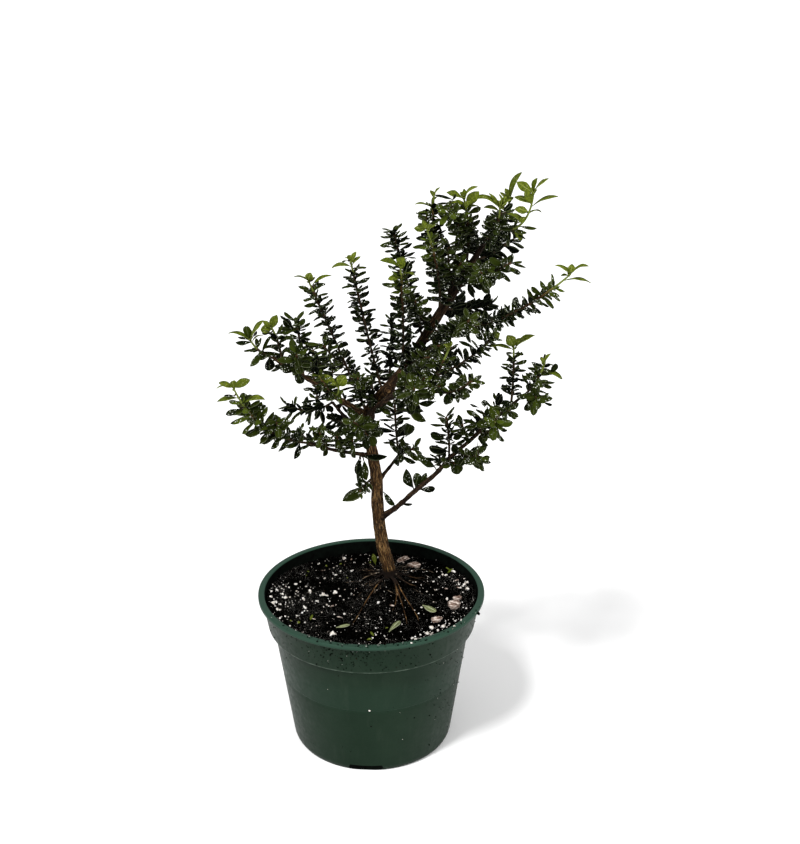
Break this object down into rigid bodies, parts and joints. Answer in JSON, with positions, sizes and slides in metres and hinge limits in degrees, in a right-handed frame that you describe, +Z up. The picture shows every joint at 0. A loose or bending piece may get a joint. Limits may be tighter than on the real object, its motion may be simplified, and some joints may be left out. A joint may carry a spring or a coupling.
{
  "type": "potted bonsai tree",
  "caption": "Young small-leaved bonsai tree with a leaning trunk, surface roots and pale new shoots, growing in soil in a round plastic nursery pot.",
  "frame": {"origin": "middle of the pot's underside, on the surface that the pot stands on", "axes": "+Z up along the pot's axis, -Y towards the viewer of the plant's front, +X to that viewer's right"},
  "size_m": [0.2378, 0.165, 0.4166],
  "materials": {
    "pot": "satin dark green moulded plastic",
    "potting_soil": "moist, crumbly, near black",
    "bark": "fissured brown bark",
    "leaves": "glossy dark green",
    "new_growth": "satin yellow green",
    "fallen_leaf": "dull, drying"
  },
  "bodies": {
    "root": {"fallen_leaf_front": "fallen_leaf", "fallen_leaf_left": "fallen_leaf", "fallen_leaf_right": "fallen_leaf", "new_growth_apex": "new_growth", "new_growth_crown_back": "new_growth", "new_growth_crown_left": "new_growth", "new_growth_crown_middle": "new_growth", "new_growth_crown_right": "new_growth", "new_growth_crown_top": "new_growth", "new_growth_front_first": "new_growth", "new_growth_left_end": "new_growth", "new_growth_left_first": "new_growth", "new_growth_left_inner": "new_growth", "new_growth_low_left": "new_growth", "new_growth_right_high": "new_growth", "new_growth_right_low_end": "new_growth", "new_growth_right_low_upright": "new_growth", "new_growth_right_middle": "new_growth", "new_growth_tall_front": "new_growth", "new_growth_tall_left": "new_growth", "new_growth_tall_middle": "new_growth", "pot": "pot", "potting_soil": "potting_soil", "spray_apex": "leaves", "spray_crown_back": "leaves", "spray_crown_front": "leaves", "spray_crown_left": "leaves", "spray_crown_middle": "leaves", "spray_crown_outer": "leaves", "spray_crown_right": "leaves", "spray_crown_top": "leaves", "spray_front_end": "leaves", "spray_front_first": "leaves", "spray_front_inner": "leaves", "spray_inner_back": "leaves", "spray_inner_front": "leaves", "spray_left_back": "leaves", "spray_left_end": "leaves", "spray_left_first": "leaves", "spray_left_front": "leaves", "spray_left_inner": "leaves", "spray_left_second": "leaves", "spray_low_back": "leaves", "spray_low_left": "leaves", "spray_middle_back": "leaves", "spray_middle_front": "leaves", "spray_right_high": "leaves", "spray_right_low_back": "leaves", "spray_right_low_end": "leaves", "spray_right_low_first": "leaves", "spray_right_low_front": "leaves", "spray_right_low_under": "leaves", "spray_right_low_upright": "leaves", "spray_right_middle": "leaves", "spray_tall_back": "leaves", "spray_tall_front": "leaves", "spray_tall_left": "leaves", "spray_tall_middle": "leaves", "spray_trunk_twig": "leaves", "trunk_and_limbs": "bark"}
  },
  "joints": []
}
